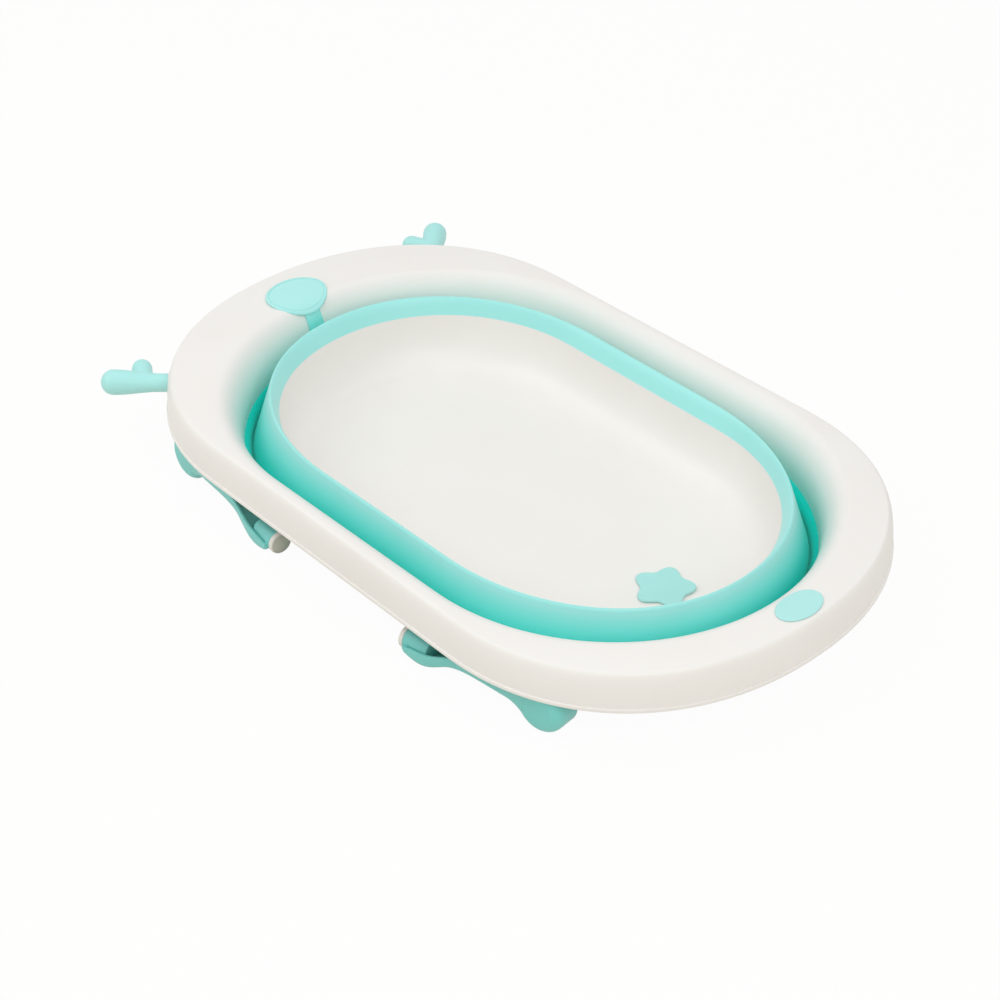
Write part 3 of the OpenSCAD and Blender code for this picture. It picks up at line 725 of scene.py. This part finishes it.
def star_ring(inset, z, roundness=0):
    """A star drawn in by a distance, and drawn towards a circle by its roundness from 0 to 1."""
    points = []
    middle = (star_points + star_valleys) / 2
    swing = (star_points - star_valleys) / 2 * (1 - roundness)
    for step in range(star_steps):
        angle = 2 * math.pi * step / star_steps
        radius = middle + swing * math.cos(star_arms * angle) - inset
        turn = angle + star_turn
        points.append((drain_place[0] + radius * math.cos(turn), radius * math.sin(turn), z))
    return points


spigot_inset = (star_points + star_valleys) / 2 - spigot_radius
star_top = floor_z + star_height

# The plug from the foot of its spigot to the middle of its top: inset, height and roundness.
star_rings = [
    star_ring(spigot_inset + spigot_edge, plug_low[2], 1),
    star_ring(spigot_inset, plug_low[2] + spigot_edge, 1),
    star_ring(spigot_inset, floor_z + 0.4 * mm, 1), star_ring(3 * mm, floor_z + 0.5 * mm),
    star_ring(1 * mm, floor_z + 0.6 * mm), star_ring(0.2 * mm, floor_z + 1.1 * mm),
    star_ring(0, floor_z + 1.8 * mm), star_ring(0.2 * mm, star_top - 0.8 * mm),
    star_ring(0.8 * mm, star_top - 0.2 * mm), star_ring(1.6 * mm, star_top),
    star_ring(2.6 * mm, star_top - 0.15 * mm), star_ring(5 * mm, star_top - 0.35 * mm, 0.1),
    star_ring(14 * mm, star_top - 0.5 * mm, 0.6),
]
plug = make_piece("plug", loft(star_rings, False), plug_finish, "plug")
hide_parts("drain_plug")


# Nose pad. An oval plate of pale mint elastomer on a low foot, moulded onto the head end. A groove sets
# off its border, and a strap that lies on the roll joins it to the soft wall.
nose_x = -350.5 * mm
nose_half = (29.5 * mm, 36.5 * mm)
nose_height = 3.4 * mm
nose_flat = 9 * mm
nose_bend = 200
strap_half = 10 * mm
strap_height = 2.1 * mm
# Strength of the painted shade down the strap.
strap_shade_strength = 0.75
strap_start = 0.5
strap_steps = 16
pad_seat = 0.3 * mm
pad_sides = 96
slope_step = 0.5 * mm

# Elastomer from a smoother mould is glossier than the wall, and a little paler.
nose_finish = moulded("glossy_mint_elastomer", "#B3EFEC", "#ABEAE6", patch_size=50 * mm, grain_size=0.9 * mm,
                      grain_height=0.015 * mm, roughness=0.38, ior=1.5)


def on_rim(x, y, lift):
    """A point lifted square to the shell's upper side."""
    slope = (rim_height(x + slope_step, y) - rim_height(x - slope_step, y)) / (2 * slope_step)
    return x, y, rim_height(x, y) + lift * math.hypot(1, slope)


def on_nose(x, y, lift):
    """A point lifted off the nose pad's upper side, which bends down a little towards the basin."""
    bent = max(0, x - nose_x + nose_flat)
    return x, y, crown_z + nose_height - nose_bend * bent ** 3 + lift


def pad_ring(middle, half, inset, lift, surface=on_rim):
    """An oval on the rim or on a surface above it, drawn in by a distance and lifted."""
    points = []
    for step in range(pad_sides):
        angle = 2 * math.pi * step / pad_sides
        x = middle + (half[0] - inset) * math.cos(angle)
        points.append(surface(x, (half[1] - inset) * math.sin(angle), lift))
    return points


def strap_ring(place):
    """The strap's section at a place on the roll, across the tub, with rounded upper edges."""
    share = place - roll_at
    section = [
        (-1, 0), (-1, 0.6), (-0.97, 0.85), (-0.9, 1), (0, 1.05), (0.9, 1), (0.97, 0.85), (1, 0.6), (1, 0),
        (0, 0),
    ]
    points = []
    for across, rise in section:
        lift = pad_seat + strap_height * rise
        half_length, half_width, end, power, shift, spread = outline_at(place, lift * share)
        y = across * strap_half
        x = shift - half_length + end - end * (1 - (abs(y) / half_width) ** power) ** (1 / power)
        z = hem_z + (crown_z - hem_z) * math.sqrt(max(0, 1 - share ** 2))
        points.append((x, y, z + lift * math.sqrt(max(0, 1 - share ** 2))))
    return points


# How far each ring of the pad is drawn in from its edge and, on its plate, its lift, in millimetres.
nose_foot = (22, 16, 10, 5)
nose_top = (
    (4, -2.6), (1.2, -2.6), (0.4, -2.2), (0, -1.3), (0.2, -0.5), (0.8, 0), (1.8, 0.15), (2.7, 0.05),
    (3, -0.65), (3.8, -0.75), (4.1, -0.1), (6, -0.05), (9, 0), (15, 0.1), (22, 0.15),
)
nose_rings = [pad_ring(nose_x, nose_half, inset * mm, pad_seat) for inset in nose_foot]
nose_rings += [pad_ring(nose_x, nose_half, inset * mm, lift * mm, on_nose) for inset, lift in nose_top]
nose = make_piece("nose", loft(nose_rings, False), nose_finish, "frame")
strap_rings = []
for step in range(strap_steps + 1):
    strap_rings.append(strap_ring(roll_at + strap_start + (1 - strap_start) * step / strap_steps))
strap = make_piece("nose_strap", loft(strap_rings, False), soft_finish, "frame")
# The strap is painted darker down the roll, as painted shade.
paint_shade_below_cuff(strap, strap_shade_strength)
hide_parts("nose_pad")
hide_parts("nose_pad")


# Badge. A thin oval plate of mint polypropylene, clipped onto the foot end with a hairline gap under its
# edge. Its face is smooth and very slightly domed.
badge_x = 381 * mm
badge_half = (17 * mm, 27.5 * mm)
badge_height = 1.2 * mm

# Polypropylene from a nearly polished mould has the clearest gloss on the tub.
badge_finish = moulded("pale_mint_polypropylene", "#B3EAE7", "#ADE6E2", patch_size=40 * mm,
                       grain_size=0.9 * mm, grain_height=0.015 * mm, roughness=0.36, ior=1.49)

# How far each ring of the badge is drawn in from its edge, and its lift.
badge_steps = (
    (12 * mm, pad_seat), (6 * mm, pad_seat), (0.9 * mm, pad_seat), (0.8 * mm, pad_seat + 0.3 * mm),
    (0.1 * mm, pad_seat + 0.4 * mm), (0, pad_seat + 0.6 * mm), (0.1 * mm, badge_height),
    (0.4 * mm, badge_height + 0.25 * mm), (1 * mm, badge_height + 0.3 * mm),
    (3 * mm, badge_height + 0.3 * mm), (8 * mm, badge_height + 0.4 * mm),
    (13 * mm, badge_height + 0.45 * mm),
)
badge_rings = [pad_ring(badge_x, badge_half, inset, lift) for inset, lift in badge_steps]
badge = make_piece("badge", loft(badge_rings, False), badge_finish, "frame")
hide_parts("badge_plate")


# Antlers. Two round knobs in mint polypropylene, each a stem that swells towards its tip with a bud on
# its inner side. Each is drawn into a socket in the rim by a screw from inside.
antler_edge = 0.5 * mm
antler_neck = 8 * mm
antler_tip = 13.75 * mm
antler_length = 71 * mm
stem_steps = 16
tip_steps = 12
bud_place = 24 * mm
bud_radius = 11 * mm
bud_reach = 26 * mm
bud_neck = 0.85 * bud_radius
bud_lean = math.radians(75)
antler_voxel = 0.9 * mm
antler_rounds = 8
antler_easing = 0.5

# Mint polypropylene from a satin mould shows a soft, wide gloss on its round forms.
antler_finish = moulded("mint_polypropylene", "#B0EBE8", "#A8E5E1", patch_size=50 * mm, grain_size=0.9 * mm,
                        grain_height=0.02 * mm, roughness=0.4, ior=1.49)
reach = antler_length - antler_tip
stem = [
    (0, -socket_length), (antler_root - antler_edge, -socket_length),
    (antler_root, antler_edge - socket_length),
]
for step in range(stem_steps + 1):
    share = step / stem_steps
    swell = share * share * (3 - 2 * share)
    radius = antler_root + (antler_tip - antler_root) * swell
    stem.append((radius, antler_neck + (reach - antler_neck) * share))
for step in range(1, tip_steps + 1):
    angle = math.pi / 2 * step / tip_steps
    stem.append((antler_tip * math.cos(angle), reach + antler_tip * math.sin(angle)))
stem[-1] = (0, antler_length)
bud = [(0, 0), (bud_neck, 0)]
for step in range(tip_steps):
    angle = math.pi / 2 * step / tip_steps
    bud.append((bud_radius * math.cos(angle), bud_reach + bud_radius * math.sin(angle)))
bud.append((0, bud_reach + bud_radius))

for side_name, side in side_ways.items():
    placed = antler_frame(side)
    lean = placed @ Matrix.Translation((0, 0, bud_place)) @ Matrix.Rotation(-side * bud_lean, 4, "X")
    joined = together([turned(stem, placed), turned(bud, lean)])
    rough = make_piece("antler_" + side_name + "_rough", joined, antler_finish, None)
    blended = rough.modifiers.new("blended", "REMESH")
    blended.mode = "VOXEL"
    blended.voxel_size = antler_voxel
    eased = rough.modifiers.new("eased", "SMOOTH")
    eased.factor = antler_easing
    eased.iterations = antler_rounds
    shape = bmesh.new()
    shape.from_object(rough, bpy.context.evaluated_depsgraph_get())
    bpy.data.objects.remove(rough)
    knob = make_piece("knob_" + side_name, shape, antler_finish, "frame", crease=180)
    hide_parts("antler_" + side_name)


# Legs. Channels in mint polypropylene, open upwards when folded, each with a thick round hub at its
# hinge and a round socket lying in its foot. The four are drawn once and placed at the corners.
leg_half = 12 * mm
leg_flare = 3 * mm
flare_from = 95 * mm
flare_to = 135 * mm
leg_wall = 3 * mm
leg_corner = 4 * mm
leg_edge = 0.8 * mm
corner_share = 0.4
pocket_corner = 1.5 * mm
hinge_z = 26 * mm
hub_radius = 26.4 * mm
hub_edge = 11 * mm
hub_width = 30 * mm
hub_bevel = 1.5 * mm
hub_ease = 0.45 * mm
hub_steps = 96
pin_bore = 4.05 * mm
foot_z = 13.5 * mm
foot_radius = 11.6 * mm
foot_length = 30 * mm
foot_bore = 8.1 * mm
bore_depth = 12 * mm
pad_at = 165 * mm
pocket_from = hub_radius + leg_wall
pocket_to = 158 * mm
path_steps = 8
edge_steps = 12
arc_steps = 4

# The channel's underside and brim, as distances from the hinge and heights in millimetres.
under_points = [
    (15.8, 7.5), (25.1, 14.8), (37, 19.5), (56, 20.5), (85, 20.1), (105.4, 16), (119, 9.2), (130.9, 3.5),
    (142.8, 1), (158, 4), (162, 10),
]
over_points = [
    (15.8, 48), (51, 50), (71.4, 46), (91.8, 35), (108.8, 27.2), (125.8, 20.1), (139.4, 16.5),
    (162, 13.5),
]

# The legs are the antlers' mint polypropylene, with the same satin gloss, given a darker colour as painted
# shade for the shade they stand in under the rim.
leg_shaded_finish = moulded("mint_polypropylene_painted_shade", "#7ED4CE", "#76CEC7", patch_size=50 * mm,
                     grain_size=0.9 * mm, grain_height=0.02 * mm, roughness=0.4, ior=1.49)
under_path = [(u * mm, z * mm) for u, z in smooth_path(under_points, path_steps)]
over_path = [(u * mm, z * mm) for u, z in smooth_path(over_points, path_steps)]
leg_first = under_path[0][0]
leg_last = under_path[-1][0]


def height_at(path, u):
    """Height of a path at a distance from the hinge."""
    for (u0, z0), (u1, z1) in zip(path, path[1:]):
        if u <= u1:
            break
    return z0 + (z1 - z0) * (u - u0) / (u1 - u0)


def arc(y, z, radius, first, last):
    """Points on a part of a circle, between two angles in degrees."""
    turns = [math.radians(first + (last - first) * step / arc_steps) for step in range(arc_steps + 1)]
    return [(y + radius * math.cos(turn), z + radius * math.sin(turn)) for turn in turns]


def channel_ring(u, hollow):
    """Section of the channel at a distance from the hinge, with rounded edges, hollow or solid."""
    low = height_at(under_path, u)
    high = height_at(over_path, u)
    ease = max(0, 1 - (u - leg_first) / hub_radius)
    corner = min(leg_corner + (hub_edge - leg_corner) * ease, (high - low) * corner_share)
    flare = min(1, max(0, (u - flare_from) / (flare_to - flare_from)))
    half = leg_half + leg_flare * flare * flare * (3 - 2 * flare)
    inside = half - leg_wall
    bed = low + leg_wall + pocket_corner
    brim = high - leg_edge
    outer = arc(leg_edge - half, brim, leg_edge, 90, 180)
    outer += arc(corner - half, low + corner, corner, 180, 270)
    outer += arc(half - corner, low + corner, corner, 270, 360)
    outer += arc(half - leg_edge, brim, leg_edge, 0, 90)
    inner = arc(inside + leg_edge, brim, leg_edge, 90, 180)
    inner += arc(inside - pocket_corner, bed, pocket_corner, 0, -90)
    inner += arc(pocket_corner - inside, bed, pocket_corner, -90, -180)
    inner += arc(-inside - leg_edge, brim, leg_edge, 0, 90)
    if not hollow:
        inner = [(y, high) for y, z in inner]
    return [(u, y, z) for y, z in outer + inner]


# Stretches of the channel: start, end, number of steps, and whether it is hollow there.
stretches = (
    (leg_first, pocket_from, 8, False), (pocket_from, pocket_to, 32, True), (pocket_to, leg_last, 16, False),
)
channel_rings = []
for first, last, steps, hollow in stretches:
    for step in range(steps + 1):
        channel_rings.append(channel_ring(first + (last - first) * step / steps, hollow))

hub_profile = [(0, 0)]
for step in range(edge_steps + 1):
    angle = math.pi / 2 * step / edge_steps
    radius = hub_radius - hub_edge + hub_edge * math.sin(angle)
    hub_profile.append((radius, hub_edge * (1 - math.cos(angle))))
hub_profile += [
    (hub_radius, hub_width - hub_bevel), (hub_radius - hub_ease, hub_width - hub_ease),
    (hub_radius - hub_bevel, hub_width), (pin_bore, hub_width), (pin_bore, leg_wall), (0, leg_wall),
]
socket_profile = [
    (0, 0), (foot_radius - 1 * mm, 0), (foot_radius - 0.3 * mm, 0.3 * mm), (foot_radius, 1 * mm),
    (foot_radius, foot_length - 0.6 * mm), (foot_radius - 0.6 * mm, foot_length), (foot_bore, foot_length),
    (foot_bore, foot_length - bore_depth), (0, foot_length - bore_depth),
]
hub_frame = Matrix.Translation((0, leg_half, hinge_z)) @ Matrix.Rotation(math.pi / 2, 4, "X")
foot_frame = Matrix.Translation((pad_at - foot_length, 0, foot_z)) @ Matrix.Rotation(math.pi / 2, 4, "Y")
for corner in corners:
    whole = together([
        loft(channel_rings, False), turned(hub_profile, hub_frame, hub_steps),
        turned(socket_profile, foot_frame),
    ])
    # The hub is cut flat where the folded tub stands on it.
    cut = bmesh.ops.bisect_plane(whole, geom=whole.verts[:] + whole.edges[:] + whole.faces[:],
                                 plane_co=(0, 0, 0), plane_no=(0, 0, -1), clear_outer=True)
    brink = [edge for edge in cut["geom_cut"] if isinstance(edge, bmesh.types.BMEdge)]
    bmesh.ops.edgeloop_fill(whole, edges=brink)
    bmesh.ops.transform(whole, matrix=corner_frame(*corner), verts=whole.verts)
    bmesh.ops.recalc_face_normals(whole, faces=whole.faces)
    node = "leg_" + "_".join(corner)
    leg = make_piece("channel_" + "_".join(corner), whole, leg_shaded_finish, node)
    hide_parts(node)


# Foot pads. Pale rubber caps pushed into the feet by a spigot, each with a grey non-slip tread let into
# its end face.
pad_radius = 12 * mm
pad_thickness = 5 * mm
pad_edge = 1.5 * mm
pad_bevel = 0.4 * mm
pad_steps = 6
pad_spigot = 8 * mm
pad_reach = 11.5 * mm
spigot_bevel = 0.6 * mm
tread_radius = 10.4 * mm
tread_gap = 0.2 * mm
tread_pocket = 1 * mm
tread_foot = 1.2 * mm
tread_edge = 0.5 * mm
tread_face = 0.2 * mm
tread_bevel = 0.4 * mm

# Rubber is matt, with hardly any gloss. The tread's coarse grip is drawn as a deeper grain of 0.7 mm.
pad_finish = moulded("pale_rubber", "#F0EDE6", "#E8E5DD", patch_size=30 * mm, grain_size=0.7 * mm,
                     grain_height=0.03 * mm, roughness=0.6, ior=1.52)
tread_finish = moulded("grey_rubber", "#D0CFC4", "#C4C3B7", patch_size=12 * mm, grain_size=0.7 * mm,
                       grain_height=0.06 * mm, roughness=0.7, ior=1.52)
pad_profile = [
    (0, -pad_reach), (pad_spigot - spigot_bevel, -pad_reach), (pad_spigot, spigot_bevel - pad_reach),
    (pad_spigot, 0), (pad_radius - pad_bevel, 0), (pad_radius, pad_bevel),
]
for step in range(pad_steps + 1):
    angle = math.pi / 2 * step / pad_steps
    radius = pad_radius - pad_edge * (1 - math.cos(angle))
    pad_profile.append((radius, pad_thickness - pad_edge * (1 - math.sin(angle))))
pad_profile += [
    (tread_radius + tread_gap, pad_thickness), (tread_radius + tread_gap, pad_thickness - tread_pocket),
    (0, pad_thickness - tread_pocket),
]
tread_profile = [
    (0, pad_thickness - tread_foot), (tread_radius, pad_thickness - tread_foot),
    (tread_radius, pad_thickness - tread_edge), (tread_radius - tread_bevel, pad_thickness - tread_face),
    (0, pad_thickness - tread_face),
]
pad_frame = Matrix.Translation((pad_at, 0, foot_z)) @ Matrix.Rotation(math.pi / 2, 4, "Y")
for corner in corners:
    placed = corner_frame(*corner) @ pad_frame
    corner_name = "_".join(corner)
    body = "leg_" + corner_name
    pad = make_piece("cap_" + corner_name, turned(pad_profile, placed), pad_finish, body)
    tread = make_piece("tread_" + corner_name, turned(tread_profile, placed), tread_finish, body)
    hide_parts("pad_" + corner_name)
    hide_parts("pad_" + corner_name)


# Hinges and screws. White polypropylene brackets under the rim, with turned pins and screws in
# zinc-plated steel. They keep the shapes of the solid model.
blotch_size = 3 * mm
blotch_detail = 3
plating_roughness = (0.25, 0.42)

# Zinc plating is a dull, slightly blotched grey metal.
steel_finish = bpy.data.materials.new("zinc_plated_steel")
steel_finish.use_nodes = True
tree = steel_finish.node_tree
tree.nodes.clear()
place = add_node(tree, "ShaderNodeTexCoord", {}, {}).outputs["Object"]
blotches = add_node(tree, "ShaderNodeTexNoise", {},
                    {"Vector": place, "Scale": 1 / blotch_size, "Detail": blotch_detail})
plating = add_node(tree, "ShaderNodeMix", {"data_type": "RGBA"},
                   {0: blotches.outputs["Fac"], 6: linear("#C4C7CB"), 7: linear("#ABAFB4")})
dulling = add_node(tree, "ShaderNodeMapRange", {}, {
    "Value": blotches.outputs["Fac"], "To Min": plating_roughness[0], "To Max": plating_roughness[1]})
metal = add_node(tree, "ShaderNodeBsdfPrincipled", {}, {
    "Base Color": plating.outputs[2], "Roughness": dulling.outputs[0], "Metallic": 1})
add_node(tree, "ShaderNodeOutputMaterial", {}, {"Surface": metal.outputs[0]})

for name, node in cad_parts.items():
    if name.startswith("bracket_") and name != "bracket_screws":
        finish = shell_finish
    else:
        finish = steel_finish
    node.data.materials.clear()
    node.data.materials.append(finish)
